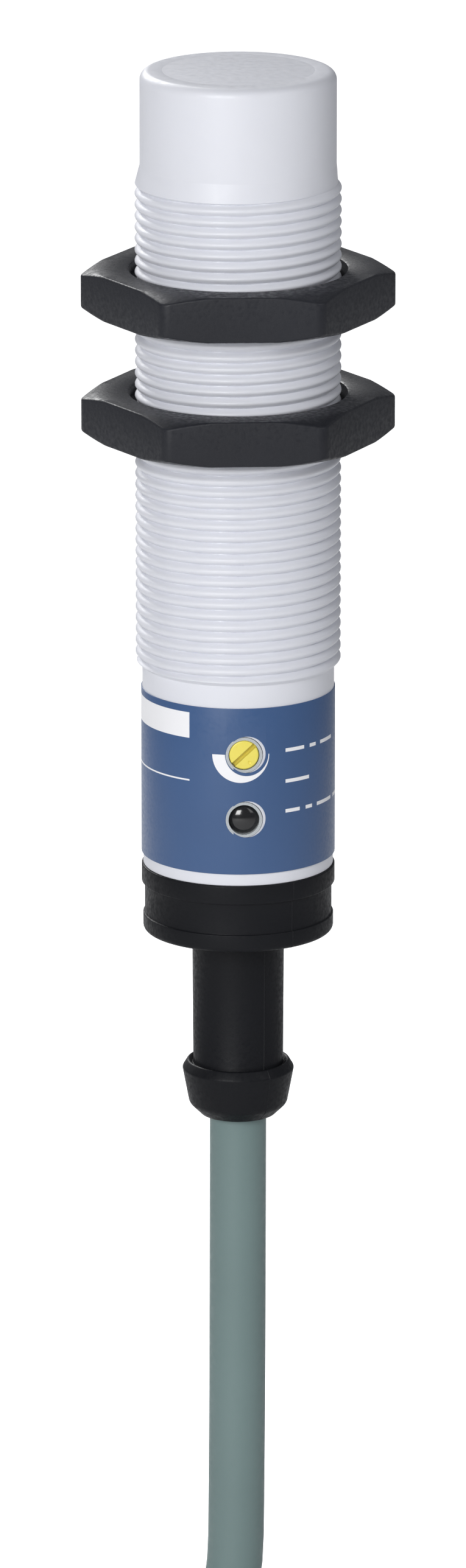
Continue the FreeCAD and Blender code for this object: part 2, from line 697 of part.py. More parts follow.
def coil():
    """The put-away turns as one ring about the Y axis, with the tie round one side of it."""
    inner = "(dims.coil_mid_dia / 2 - dims.coil_width / 2)"
    outer = "(dims.coil_mid_dia / 2 + dims.coil_width / 2)"
    ring = turned("coil_turned", tube_points(inner, outer, "-dims.coil_depth / 2", "dims.coil_depth / 2"))
    radii = [(size("coil_mid_dia") + side * size("coil_width")) / 2 for side in (-1, 1)]
    corners = [ring_edge(radius, side * size("coil_depth") / 2) for radius in radii for side in (-1, 1)]
    rounded(ring, "dims.coil_round", lambda edge: any(test(edge) for test in corners))
    node(facing_front(ring, COIL_Z), "cable_coil")
    hole_wide = "(dims.coil_width + 2 * dims.tie_gap)"
    hole_deep = "(dims.coil_depth + 2 * dims.tie_gap)"
    centre = "(-dims.coil_mid_dia / 2)"
    band = boxed("tie_block", f"{hole_wide} + 2 * dims.tie_thick", f"{hole_deep} + 2 * dims.tie_thick",
                 "dims.tie_width", f"{centre} - {hole_wide} / 2 - dims.tie_thick",
                 f"-{hole_deep} / 2 - dims.tie_thick", f"{COIL_Z} - dims.tie_width / 2")
    space = boxed("tie_space", hole_wide, hole_deep, "dims.tie_width + 2", f"{centre} - {hole_wide} / 2",
                  f"-{hole_deep} / 2", f"{COIL_Z} - dims.tie_width / 2 - 1")
    node(cut("tie_cut", band, space), "coil_tie")


def tail():
    """The cable's free end: a short length of jacket with three cores and their bare tips."""
    x = f"(dims.coil_mid_dia / 2 + dims.coil_width / 2 + dims.cable_dia / 2)"
    jacket_top = f"({COIL_Z} + dims.tail_length)"
    node(rod("tail_jacket", "dims.cable_dia / 2", x, "0", COIL_Z, jacket_top), "cable_tail")
    tips = []
    for colour, side in CORES.items():
        core_x = f"({x} + {side} * dims.core_spacing)"
        core_top = f"({jacket_top} + dims.tail_core_length)"
        node(rod(f"tail_{colour}_rod", "dims.core_dia / 2", core_x, "0", jacket_top, core_top),
             f"tail_core_{colour}")
        tips.append(rod(f"tail_{colour}_tip", "dims.tail_tip_dia / 2", core_x, "0", core_top,
                        f"({core_top} + dims.tail_tip_length)"))
    node(group("tail_tip_group", tips), "tail_tips")


# ---------------------------------------------------------------- build and write

barrel()
label()
nut("nut_upper", "(dims.nut_gap / 2)", -1.5)
nut("nut_lower", "(-dims.nut_gap / 2 - dims.nut_height)", -0.5)
sensing_end()
circuit()
trimmer()
light()
rear_cap()
cores()
cable()
coil()
tail()
doc.recompute()

for obj in doc.Objects:
    if "Invalid" in obj.State or "Error" in obj.State:
        raise RuntimeError(f"{obj.Label} failed: {obj.State}")
for obj in NODES:
    if obj.Shape.isNull() or not obj.Shape.isValid() or obj.Shape.Volume <= 0:
        raise RuntimeError(f"{obj.Label} has no valid shape")

os.makedirs("parts", exist_ok=True)
for obj in NODES:
    obj.Shape.exportStep(os.path.join("parts", f"{obj.Label}.step"))
    print(f"{obj.Label}: {len(obj.Shape.Solids)} solid(s), {obj.Shape.Volume:.2f} mm3")
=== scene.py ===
"""Looks of an M18 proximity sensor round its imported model. Lengths in the code are millimetres, and
M turns them into Blender's metres, apart from the cable's route, which is in metres."""
import json
import math

import bmesh
import bpy
from mathutils import Matrix, Vector

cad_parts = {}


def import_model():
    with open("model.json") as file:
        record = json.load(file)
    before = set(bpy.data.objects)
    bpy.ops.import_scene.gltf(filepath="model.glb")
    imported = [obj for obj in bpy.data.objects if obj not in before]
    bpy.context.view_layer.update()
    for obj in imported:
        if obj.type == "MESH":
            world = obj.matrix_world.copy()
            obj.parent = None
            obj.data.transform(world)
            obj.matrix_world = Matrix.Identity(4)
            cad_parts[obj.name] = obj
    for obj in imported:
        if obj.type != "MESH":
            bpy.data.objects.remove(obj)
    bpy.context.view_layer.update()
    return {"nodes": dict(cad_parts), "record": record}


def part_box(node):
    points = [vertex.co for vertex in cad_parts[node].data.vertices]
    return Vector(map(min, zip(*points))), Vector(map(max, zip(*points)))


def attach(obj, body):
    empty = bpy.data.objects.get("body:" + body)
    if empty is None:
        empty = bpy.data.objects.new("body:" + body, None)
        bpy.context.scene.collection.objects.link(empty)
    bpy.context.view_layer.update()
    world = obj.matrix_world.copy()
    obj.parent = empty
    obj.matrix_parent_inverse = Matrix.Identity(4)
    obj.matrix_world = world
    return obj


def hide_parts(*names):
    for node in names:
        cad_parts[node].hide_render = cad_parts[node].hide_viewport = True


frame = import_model()
M = 0.001


def span(node):
    """A CAD node's lowest and highest corners, in millimetres."""
    low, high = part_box(node)
    return Vector(low) / M, Vector(high) / M


# ---------------------------------------------------------------- sizes taken from the frame

BARREL_LOW, BARREL_HIGH = span("barrel")
FACE_Z = BARREL_HIGH.z
BARREL_END = BARREL_LOW.z
LABEL_LOW, LABEL_HIGH = span("label_sleeve")
CAP_LOW, CAP_HIGH = span("rear_cap")
DISC_LOW, DISC_HIGH = span("face_disc")
KNOB_LOW, KNOB_HIGH = span("trimmer_knob")
GUIDE_LOW, GUIDE_HIGH = span("light_guide")
COIL_LOW, COIL_HIGH = span("cable_coil")
TAIL_LOW, TAIL_HIGH = span("cable_tail")

THREAD_RADIUS = BARREL_HIGH.x
PITCH = 1.0
ROOT_RADIUS = 8.475
NOSE_RADIUS = 8.55
NOSE_END = FACE_Z - 8.3
THREAD_TOP = FACE_Z - 10.0
THREAD_END = LABEL_HIGH.z + 2.0
HELIX_BASE = THREAD_END - 0.6 * PITCH
NECK_RADIUS = 8.425
LABEL_RADIUS = LABEL_HIGH.x
LABEL_SEAT = LABEL_RADIUS - 0.08
RING_RADIUS = 8.35
BORE_RADIUS = 7.3
PORT_RADIUS = 1.65
TRIMMER_Z = (KNOB_LOW.z + KNOB_HIGH.z) / 2
LIGHT_Z = (GUIDE_LOW.z + GUIDE_HIGH.z) / 2
CABLE_RADIUS = 2.5

# ---------------------------------------------------------------- camera

CAMERA_TURN = math.radians(-3.45)
CAMERA_DISTANCE = 1000.0
CAMERA_HEIGHT = 235.4
CAMERA_TILT = math.radians(15.35)
CAMERA_LENS = 270.5
AXIS_OFFSET = 8.5 / 2576


def make_camera():
    data = bpy.data.cameras.new("camera")
    data.sensor_width = 36.0
    data.lens = CAMERA_LENS
    data.shift_x = -AXIS_OFFSET
    data.clip_start = 0.05
    data.clip_end = 20.0
    camera = bpy.data.objects.new("camera", data)
    bpy.context.scene.collection.objects.link(camera)
    camera.location = Vector((math.sin(CAMERA_TURN) * CAMERA_DISTANCE,
                              -math.cos(CAMERA_TURN) * CAMERA_DISTANCE, CAMERA_HEIGHT)) * M
    camera.rotation_euler = (math.pi / 2 - CAMERA_TILT, 0.0, CAMERA_TURN)
    bpy.context.scene.camera = camera


make_camera()

# ---------------------------------------------------------------- materials


def tree(name):
    material = bpy.data.materials.new(name)
    material.use_nodes = True
    nodes = material.node_tree.nodes
    return material, nodes, material.node_tree.links, nodes["Principled BSDF"]


def noise(nodes, links, scale, detail=2.0, stretch=(1.0, 1.0, 1.0)):
    """A noise texture in object coordinates, scale in features per metre."""
    coordinates = nodes.new("ShaderNodeTexCoord")
    mapping = nodes.new("ShaderNodeMapping")
    mapping.inputs["Scale"].default_value = stretch
    texture = nodes.new("ShaderNodeTexNoise")
    texture.inputs["Scale"].default_value = scale
    texture.inputs["Detail"].default_value = detail
    links.new(coordinates.outputs["Object"], mapping.inputs["Vector"])
    links.new(mapping.outputs["Vector"], texture.inputs["Vector"])
    return texture.outputs["Fac"]


def ramp(nodes, links, source, low, high, low_at=0.3, high_at=0.7):
    """A colour or grey that runs from low to high as the source does."""
    node = nodes.new("ShaderNodeValToRGB")
    for element, at, value in ((0, low_at, low), (1, high_at, high)):
        node.color_ramp.elements[element].position = at
        colour = value if hasattr(value, "__len__") else (value, value, value)
        node.color_ramp.elements[element].color = (*colour, 1.0)
    links.new(source, node.inputs["Fac"])
    return node.outputs["Color"]


def shade(colour, factor):
    return tuple(min(1.0, channel * factor) for channel in colour)


MOTTLE_SCALE = 90.0
BUMP_STRENGTH = 0.6
COAT_ROUGHNESS = 0.15
SCATTER_DEPTH = 0.4


def moulded(name, colour, roughness, grain=2500.0, grain_depth=0.02, mottle=0.04, sheen_grain=0.08,
            coat=0.0, subsurface=0.0, specular=0.5):
    """Moulded plastic or rubber: fine surface grain, faint mottling and uneven gloss."""
    material, nodes, links, shader = tree(name)
    blotches = noise(nodes, links, MOTTLE_SCALE, 3.0)
    tint = ramp(nodes, links, blotches, shade(colour, 1.0 - mottle), shade(colour, 1.0 + mottle))
    links.new(tint, shader.inputs["Base Color"])
    fine = noise(nodes, links, grain, 2.0)
    gloss = ramp(nodes, links, fine, max(0.02, roughness - sheen_grain), min(1.0, roughness + sheen_grain))
    links.new(gloss, shader.inputs["Roughness"])
    bump = nodes.new("ShaderNodeBump")
    bump.inputs["Strength"].default_value = BUMP_STRENGTH
    bump.inputs["Distance"].default_value = grain_depth * M
    links.new(fine, bump.inputs["Height"])
    links.new(bump.outputs["Normal"], shader.inputs["Normal"])
    shader.inputs["Specular IOR Level"].default_value = specular
    shader.inputs["Coat Weight"].default_value = coat
    shader.inputs["Coat Roughness"].default_value = COAT_ROUGHNESS
    shader.inputs["Subsurface Weight"].default_value = subsurface
    shader.inputs["Subsurface Scale"].default_value = SCATTER_DEPTH * M
    shader.inputs["Subsurface Radius"].default_value = (1.0, 0.9, 0.8)
    return material


def metal(name, colour, roughness):
    """Bare or tinned metal with fine uneven gloss."""
    material, nodes, links, shader = tree(name)
    shader.inputs["Metallic"].default_value = 1.0
    streaks = noise(nodes, links, 1500.0, 3.0, (1.0, 1.0, 0.15))
    tint = ramp(nodes, links, streaks, shade(colour, 0.85), shade(colour, 1.1))
    links.new(tint, shader.inputs["Base Color"])
    gloss = ramp(nodes, links, streaks, roughness - 0.08, roughness + 0.1)
    links.new(gloss, shader.inputs["Roughness"])
    return material


def clear(name, colour, roughness):
    """Translucent plastic, milky and faintly uneven."""
    material = moulded(name, colour, roughness, grain=1800.0, grain_depth=0.005, mottle=0.05)
    shader = material.node_tree.nodes["Principled BSDF"]
    shader.inputs["Transmission Weight"].default_value = 0.35
    shader.inputs["IOR"].default_value = 1.49
    return material


MATERIALS = {
    "barrel_white": moulded("white_pbt", (0.735, 0.745, 0.795), 0.42, grain=1600.0, grain_depth=0.006,
                            mottle=0.012, subsurface=0.06),
    "label_blue": moulded("label_film", (0.043, 0.098, 0.232), 0.38, grain=3500.0, grain_depth=0.004,
                          mottle=0.05, coat=0.15),
    "label_ink": moulded("label_ink", (0.88, 0.88, 0.90), 0.42, grain=3500.0, grain_depth=0.003,
                         mottle=0.01),
    "nut_black": moulded("nut_plastic", (0.017, 0.018, 0.023), 0.46, grain=2600.0, grain_depth=0.03,
                         mottle=0.12, sheen_grain=0.14, specular=0.3),
    "cap_black": moulded("cap_plastic", (0.0075, 0.008, 0.010), 0.46, grain=2900.0, grain_depth=0.02,
                         mottle=0.12, sheen_grain=0.12, specular=0.16),
    "cable_grey": moulded("cable_pvc", (0.155, 0.222, 0.218), 0.5, grain=1500.0, grain_depth=0.008,
                          mottle=0.03),
    "knob_yellow": moulded("knob_acetal", (0.86, 0.74, 0.13), 0.35, grain=1500.0, grain_depth=0.004,
                           mottle=0.05, subsurface=0.1),
    "light_dark": moulded("light_lens", (0.006, 0.006, 0.007), 0.12, grain=900.0, grain_depth=0.003,
                          mottle=0.1, sheen_grain=0.04, coat=0.6),
    "clear_plastic": clear("bush_plastic", (0.70, 0.74, 0.76), 0.3),
    "seal_rubber": moulded("seal_rubber", (0.018, 0.018, 0.020), 0.6, mottle=0.1),
    "carrier_plastic": moulded("carrier_plastic", (0.62, 0.60, 0.55), 0.45),
    "copper": metal("copper_foil", (0.82, 0.44, 0.28), 0.32),
    "bare_copper": metal("copper_strands", (0.80, 0.42, 0.26), 0.34),
    "tinned_wire": metal("tinned_wire", (0.74, 0.74, 0.72), 0.3),
    "board_green": moulded("board_mask", (0.03, 0.19, 0.08), 0.3, coat=0.3),
    "chip_black": moulded("chip_epoxy", (0.02, 0.02, 0.022), 0.55),
    "resistor_black": moulded("resistor_glaze", (0.03, 0.03, 0.035), 0.3),
    "capacitor_tan": moulded("capacitor_ceramic", (0.42, 0.30, 0.18), 0.5),
    "trimmer_blue": moulded("trimmer_case", (0.05, 0.12, 0.45), 0.4),
    "potting_resin": moulded("potting_resin", (0.02, 0.02, 0.022), 0.22, coat=0.4),
    "core_brown": moulded("core_brown_pvc", (0.14, 0.055, 0.03), 0.35),
    "core_black": moulded("core_black_pvc", (0.012, 0.012, 0.013), 0.35),
    "core_blue": moulded("core_blue_pvc", (0.03, 0.11, 0.42), 0.35),
}


def dress_cad_nodes():
    """Give every carried-over CAD node the procedural material of its slot."""
    for part in frame["record"]["subparts"]:
        node = frame["nodes"][part["node"]]
        node.data.materials.clear()
        node.data.materials.append(MATERIALS[part["material_slot"]])


dress_cad_nodes()

# ---------------------------------------------------------------- ways of making a mesh

SHARP_ANGLE = 32.0
ON_AXIS = 1e-6
CUTTER_SIDES = 64
CUTTER_NEAR = 4.0
CUTTER_FAR = 12.0


def piece(name, mesh, body, slot, sharp=SHARP_ANGLE):
    """A finished piece of the object, riding on a body and taking a slot's finish."""
    mesh.shade_smooth()
    mesh.set_sharp_from_angle(angle=math.radians(sharp))
    mesh.materials.clear()
    mesh.materials.append(MATERIALS[slot])
    made = bpy.data.objects.new(name, mesh)
    bpy.context.scene.collection.objects.link(made)
    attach(made, body)
    return made


def filleted(corners, steps=6):
    """Corners of (radius, height, fillet radius) as an outline with arcs, closed or not as given."""
    outline = []
    count = len(corners)
    for i, (r, z, fillet) in enumerate(corners):
        here = Vector((r, z))
        if fillet <= 0:
            outline.append(here)
            continue
        before = (Vector(corners[i - 1][:2]) - here).normalized()
        after = (Vector(corners[(i + 1) % count][:2]) - here).normalized()
        half = before.angle(after) / 2
        setback = fillet / math.tan(half)
        centre = here + (before + after).normalized() * (fillet / math.sin(half))
        start = here + before * setback - centre
        end = here + after * setback - centre
        turn = start.angle_signed(end)
        for k in range(steps + 1):
            spin = Matrix.Rotation(-turn * k / steps, 2)
            outline.append(centre + spin @ start)
    return outline


def ring_grid(rows, columns, place):
    """A closed surface of rows by columns, wrapped both ways, with place(row, column) as its points."""
    mesh = bpy.data.meshes.new("grid")
    points = [place(i, j) for i in range(rows) for j in range(columns)]
    faces = []
    for i in range(rows):
        below = ((i + 1) % rows) * columns
        for j in range(columns):
            side = (j + 1) % columns
            faces.append((i * columns + j, i * columns + side, below + side, below + j))
    mesh.from_pydata(points, [], faces)
    build = bmesh.new()
    build.from_mesh(mesh)
    bmesh.ops.recalc_face_normals(build, faces=build.faces)
    build.to_mesh(mesh)
    build.free()
    return mesh


def even_angles(count):
    return [2 * math.pi * j / count for j in range(count)]


def lathe(outline, angles, radius=lambda r, z, angle: r):
    """A ring turned about Z from a closed outline, where radius may vary with the angle."""
    def place(i, j):
        r, z = outline[i]
        wide = radius(r, z, angles[j])
        return Vector((wide * math.cos(angles[j]), wide * math.sin(angles[j]), z)) * M
    return ring_grid(len(outline), len(angles), place)


def disc_lathe(outline, count):
    """A solid turned about Z from an open outline whose two ends are on the axis."""
    mesh = bpy.data.meshes.new("disc")
    build = bmesh.new()
    rings = []
    for r, z in outline:
        around_axis = [0.0] if r < ON_AXIS else even_angles(count)
        reach = 0.0 if r < ON_AXIS else r
        ring = []
        for angle in around_axis:
            ring.append(build.verts.new((reach * math.cos(angle) * M, reach * math.sin(angle) * M, z * M)))
        rings.append(ring)
    for upper, lower in zip(rings, rings[1:]):
        for j in range(count):
            k = (j + 1) % count
            corners = [upper[j % len(upper)], upper[k % len(upper)]]
            corners += [lower[k % len(lower)], lower[j % len(lower)]]
            build.faces.new(list(dict.fromkeys(corners)))
    bmesh.ops.recalc_face_normals(build, faces=build.faces)
    build.to_mesh(mesh)
    build.free()
    return mesh


def face_front(mesh, height):
    """Turn a mesh made about Z so that Z points to -Y, at a height."""
    mesh.transform(Matrix.Translation((0.0, 0.0, height * M)) @ Matrix.Rotation(math.pi / 2, 4, "X"))
    return mesh


def carve(target, cutters):
    """Subtract each cutter's mesh from a piece, and keep the result as its mesh."""
    for index, cutter in enumerate(cutters):
        tool = bpy.data.objects.new(f"cutter_{index}", cutter)
        bpy.context.scene.collection.objects.link(tool)
        change = target.modifiers.new("carve", "BOOLEAN")
        change.operation = "DIFFERENCE"
        change.solver = "EXACT"
        change.object = tool
        graph = bpy.context.evaluated_depsgraph_get()
        carved = bpy.data.meshes.new_from_object(target.evaluated_get(graph))
        target.modifiers.clear()
        target.data = carved
        bpy.data.objects.remove(tool)
    target.data.shade_smooth()
    target.data.set_sharp_from_angle(angle=math.radians(SHARP_ANGLE))


def port(radius, height, across=0.0):
    """A round cutter along -Y, through the barrel's front wall."""
    outline = [(0.0, CUTTER_NEAR), (radius, CUTTER_NEAR), (radius, CUTTER_FAR), (0.0, CUTTER_FAR)]
    mesh = face_front(disc_lathe(outline, CUTTER_SIDES), height)
    mesh.transform(Matrix.Translation((across * M, 0.0, 0.0)))
    return mesh


# ---------------------------------------------------------------- barrel

THREAD_ROWS_PER_TURN = 14
BARREL_COLUMNS = 180
GROOVE_DEPTH = 0.5
RIDGE_POWER = 0.9
RUN_OUT = 0.2
LEAD_IN = 0.9
THREADED_FROM_RADIUS = 8.8
WINDOW_RADIUS = DISC_HIGH.x - 0.7
WINDOW_DEPTH = 1.4
DISC_FACE_RADIUS = 6.7
DISC_COLUMNS = 128


def thread_radius(z, angle):
    """The thread's surface: narrow grooves between full round ridges, on a right-hand helix."""
    turn = (angle - math.pi / 2) / (2 * math.pi)
    along = (z - HELIX_BASE) / PITCH - turn
    away = abs(along - round(along))
    rise = math.sin(math.pi * away) ** RIDGE_POWER
    return THREAD_RADIUS - GROOVE_DEPTH * (1 - rise)


def barrel():
    outer = filleted([
        (WINDOW_RADIUS, FACE_Z, 0.07),
        (NOSE_RADIUS, FACE_Z, 0.8),
        (NOSE_RADIUS, NOSE_END, 0.6),
        (THREAD_RADIUS, THREAD_TOP, 0.3),
        (THREAD_RADIUS, THREAD_END + 0.4, 0.12),
        (NECK_RADIUS, THREAD_END, 0.15),
        (NECK_RADIUS, LABEL_HIGH.z, 0.0),
        (LABEL_SEAT, LABEL_HIGH.z, 0.0),
        (LABEL_SEAT, LABEL_LOW.z, 0.0),
        (RING_RADIUS, LABEL_LOW.z, 0.0),
        (RING_RADIUS, BARREL_END, 0.1),
        (BORE_RADIUS, BARREL_END, 0.0),
        (BORE_RADIUS, FACE_Z - WINDOW_DEPTH, 0.0),
        (WINDOW_RADIUS, FACE_Z - WINDOW_DEPTH, 0.0),
    ])
    rows = []
    for here, after in zip(outer, outer[1:] + outer[:1]):
        rows.append(here)
        threaded = min(here.x, after.x) > THREADED_FROM_RADIUS
        if threaded and here.y - after.y > PITCH:
            count = round((here.y - after.y) / PITCH * THREAD_ROWS_PER_TURN)
            rows += [here.lerp(after, k / count) for k in range(1, count)]

    def radius(r, z, angle):
        if r < ROOT_RADIUS or not THREAD_END - RUN_OUT < z < THREAD_TOP + LEAD_IN:
            return r
        return min(r, thread_radius(z, angle))

    mesh = lathe(rows, even_angles(BARREL_COLUMNS), radius)
    shell = piece("barrel_moulding", mesh, "barrel", "barrel_white")
    carve(shell, [port(PORT_RADIUS, TRIMMER_Z), port(PORT_RADIUS, LIGHT_Z)])
    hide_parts("barrel")


def face_disc():
    shoulder = FACE_Z - WINDOW_DEPTH
    outline = filleted([
        (0.0, FACE_Z, 0.0),
        (DISC_FACE_RADIUS, FACE_Z, 0.07),
        (DISC_FACE_RADIUS, shoulder, 0.0),
        (DISC_HIGH.x, shoulder, 0.0),
        (DISC_HIGH.x, DISC_LOW.z, 0.0),
        (0.0, DISC_LOW.z, 0.0),
    ])
    disc = piece("face_disc_moulding", disc_lathe(outline, DISC_COLUMNS), "barrel", "barrel_white")
    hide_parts("face_disc")


# ---------------------------------------------------------------- nuts

NUT_HALF_WIDTH = 12.0
NUT_LAND = 12.25
NUT_CORNER_DROP = 0.62
NUT_MOUTH = 9.65
NUT_BORE = 9.06
MOUTH_DEPTH = 1.3
MOUTH_EDGE = 0.08
FACE_INSET = 0.8
EDGE = 0.16
EDGE_STEPS = 4
CORNER_BLUNT = 0.16
NUT_COLUMNS = 360


def hexagon(angle, turn):
    """The distance from the axis to a hexagon's side, with slightly blunted corners."""
    sector = (angle - turn - math.pi / 2) % (math.pi / 3)
    off = abs(sector - math.pi / 6)
    flat = NUT_HALF_WIDTH / math.cos(math.pi / 6 - off)
    return min(flat, NUT_HALF_WIDTH / math.cos(math.pi / 6) - CORNER_BLUNT)


def nut(node, body, turn_degrees):
    low, high = span(node)
    turn = math.radians(turn_degrees)
    angles = even_angles(NUT_COLUMNS)
    slope = NUT_CORNER_DROP / (NUT_HALF_WIDTH / math.cos(math.pi / 6) - NUT_LAND)
    mesh_rows = []

    def row(radius_of, height_of):
        mesh_rows.append((radius_of, height_of))

    def side(angle):
        return hexagon(angle, turn)

    def fall(angle, inset):
        return max(0.0, side(angle) - inset - NUT_LAND) * slope

    row(lambda a: NUT_BORE, lambda a: high.z - MOUTH_DEPTH)
    row(lambda a: NUT_MOUTH - MOUTH_EDGE, lambda a: high.z - MOUTH_EDGE)
    row(lambda a: NUT_MOUTH + MOUTH_EDGE, lambda a: high.z)
    row(lambda a: NUT_HALF_WIDTH - FACE_INSET, lambda a: high.z)
    row(lambda a: min(NUT_LAND, side(a) - EDGE), lambda a: high.z)
    bends = [math.pi / 2 * k / EDGE_STEPS for k in range(EDGE_STEPS + 1)]
    for bend in bends:
        inset = EDGE * (1 - math.sin(bend))
        drop = EDGE * (1 - math.cos(bend))
        row(lambda a, i=inset: side(a) - i, lambda a, i=inset, d=drop: high.z - fall(a, i) - d)
    for bend in bends:
        inset = EDGE * (1 - math.cos(bend))
        lift = EDGE * (1 - math.sin(bend))
        row(lambda a, i=inset: side(a) - i, lambda a, i=inset, d=lift: low.z + fall(a, i) + d)
    row(lambda a: min(NUT_LAND, side(a) - EDGE), lambda a: low.z)
    row(lambda a: NUT_MOUTH + MOUTH_EDGE, lambda a: low.z)
    row(lambda a: NUT_MOUTH - MOUTH_EDGE, lambda a: low.z + MOUTH_EDGE)
    row(lambda a: NUT_BORE, lambda a: low.z + MOUTH_DEPTH)

    def place(i, j):
        radius_of, height_of = mesh_rows[i]
        a = angles[j]
        wide = radius_of(a)
        return Vector((wide * math.cos(a), wide * math.sin(a), height_of(a))) * M

    made = piece(f"{node}_moulding", ring_grid(len(mesh_rows), len(angles), place), body, "nut_black", 28.0)
    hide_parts(node)


# ---------------------------------------------------------------- label and its print

LABEL_SHIFT = 0.25
LABEL_LIFT = 0.05
LABEL_COLUMNS = 240
FILM_GAP = 0.005
INK_SINK = 0.01
INK_LIFT = 0.012
INK_STEP = 0.4

CRESCENT_INNER = 1.92
CRESCENT_OUTER = 2.52
CRESCENT_OFFSET = 0.53
CRESCENT_STEPS = 48
BLOCK_LEFT = math.radians(-112.0) * LABEL_RADIUS
BLOCK_RIGHT = math.radians(-33.4) * LABEL_RADIUS
BAR_DEPTHS = (0.6, 2.9)
LINE_DEPTHS = (6.64, 6.78)
DASHES_LEFT = math.radians(25.6) * LABEL_RADIUS
DASH_ROWS = {4.0: (2.0, 0.8, 2.2), 6.8: (2.6,), 9.5: (1.5, 0.8, 2.6, 1.2)}
DASH_HALF_HEIGHT = 0.16
DASH_GAP = 0.7


def label():
    outline = filleted([(LABEL_SEAT + FILM_GAP, LABEL_HIGH.z, 0.0), (LABEL_RADIUS, LABEL_HIGH.z, 0.03),
                        (LABEL_RADIUS, LABEL_LOW.z, 0.03), (LABEL_SEAT + FILM_GAP, LABEL_LOW.z, 0.0)], 3)
    sleeve = piece("label_film", lathe(outline, even_angles(LABEL_COLUMNS)), "barrel", "label_blue")
    carve(sleeve, [port(PORT_RADIUS, TRIMMER_Z + LABEL_LIFT, LABEL_SHIFT),
                   port(PORT_RADIUS, LIGHT_Z + LABEL_LIFT, LABEL_SHIFT)])
    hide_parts("label_sleeve")


def printed(name, rims, columns=6):
    """A patch of ink on the label, from pairs of (across, height) points on its two rims."""
    build = bmesh.new()
    layers = []
    for radius in (LABEL_RADIUS - INK_SINK, LABEL_RADIUS + INK_LIFT):
        layer = []
        for (u0, v0), (u1, v1) in rims:
            row = []
            for k in range(columns + 1):
                angle = (u0 + (u1 - u0) * k / columns) / LABEL_RADIUS
                height = v0 + (v1 - v0) * k / columns
                spot = Vector((radius * math.sin(angle), -radius * math.cos(angle), height))
                row.append(build.verts.new(spot * M))
            layer.append(row)
        layers.append(layer)
    inner, outer = layers
    last = len(rims) - 1
    for i in range(last):
        for layer in (inner, outer):
            for k in range(columns):
                build.faces.new((layer[i][k], layer[i + 1][k], layer[i + 1][k + 1], layer[i][k + 1]))
        for rim in (0, columns):
            build.faces.new((inner[i][rim], inner[i + 1][rim], outer[i + 1][rim], outer[i][rim]))
    for i in (0, last):
        for k in range(columns):
            build.faces.new((inner[i][k], inner[i][k + 1], outer[i][k + 1], outer[i][k]))
    bmesh.ops.recalc_face_normals(build, faces=build.faces)
    mesh = bpy.data.meshes.new(name)
    build.to_mesh(mesh)
    build.free()
    patch = piece(name, mesh, "barrel", "label_ink")


def bar(name, left, right, low, high):
    steps = max(2, round(abs(right - left) / INK_STEP))
    rims = []
    for k in range(steps + 1):
        across = left + (right - left) * k / steps
        rims.append(((across, low), (across, high)))
    printed(name, rims)


def label_print():
    middle = TRIMMER_Z + LABEL_LIFT
    crescent = []
    for k in range(CRESCENT_STEPS + 1):
        angle = math.pi + math.pi * k / CRESCENT_STEPS
        inner = (LABEL_SHIFT + CRESCENT_INNER * math.cos(angle), middle + CRESCENT_INNER * math.sin(angle))
        outer = (LABEL_SHIFT - CRESCENT_OFFSET + CRESCENT_OUTER * math.cos(angle),
                 middle + CRESCENT_OUTER * math.sin(angle))
        crescent.append((inner, outer))
    printed("label_crescent", crescent)
    top = LABEL_HIGH.z
    for name, (upper, lower) in (("label_bar", BAR_DEPTHS), ("label_line", LINE_DEPTHS)):
        bar(name, BLOCK_LEFT, BLOCK_RIGHT, top - lower, top - upper)
    for depth, lengths in DASH_ROWS.items():
        start = DASHES_LEFT
        middle = top - depth
        for index, length in enumerate(lengths):
            name = f"label_dash_{int(depth)}_{index}"
            bar(name, start, start + length, middle - DASH_HALF_HEIGHT, middle + DASH_HALF_HEIGHT)
            start += length + DASH_GAP


# ---------------------------------------------------------------- trimmer and light

TURNED_COLUMNS = 72
KNOB_HEAD = 1.8
KNOB_SHANK = 0.8
KNOB_EDGE = 0.14
SLOT_ANGLE = math.radians(-43.0)
SLOT_LENGTH = 4.0
SLOT_DEPTH = 1.2
SLOT_WIDTH = 0.42
DIMPLE_RADIUS = 0.2
DIMPLE_ACROSS = 0.5
DIMPLE_PROUD = 0.1
DIMPLE_DROP = 0.68
CROWN_DROP = 0.62


def trimmer():
    face = -KNOB_LOW.y
    radius = KNOB_HIGH.x
    back = -KNOB_HIGH.y
    under = face - KNOB_HEAD
    outline = filleted([(0.0, face, 0.0), (radius, face, KNOB_EDGE), (radius, under, 0.0),
                        (KNOB_SHANK, under, 0.0), (KNOB_SHANK, back, 0.0), (0.0, back, 0.0)])
    mesh = face_front(disc_lathe(outline, TURNED_COLUMNS), TRIMMER_Z)
    knob = piece("trimmer_screw", mesh, "trimmer", "knob_yellow")
    slot_cut = bpy.data.meshes.new("slot_cut")
    build = bmesh.new()
    bmesh.ops.create_cube(build, size=1.0)
    build.to_mesh(slot_cut)
    build.free()
    slot_size = Matrix.Diagonal((SLOT_LENGTH * M, SLOT_DEPTH * M, SLOT_WIDTH * M, 1.0))
    slot_cut.transform(Matrix.Translation((0.0, -face * M, TRIMMER_Z * M))
                       @ Matrix.Rotation(SLOT_ANGLE, 4, "Y") @ slot_size)
    dimple = bpy.data.meshes.new("dimple")
    build = bmesh.new()
    bmesh.ops.create_uvsphere(build, u_segments=24, v_segments=12, radius=DIMPLE_RADIUS * M)
    build.to_mesh(dimple)
    build.free()
    dimple_place = (DIMPLE_ACROSS * M, (-face - DIMPLE_PROUD) * M, (TRIMMER_Z - DIMPLE_DROP) * M)
    dimple.transform(Matrix.Translation(dimple_place))
    carve(knob, [slot_cut, dimple])
    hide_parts("trimmer_knob")


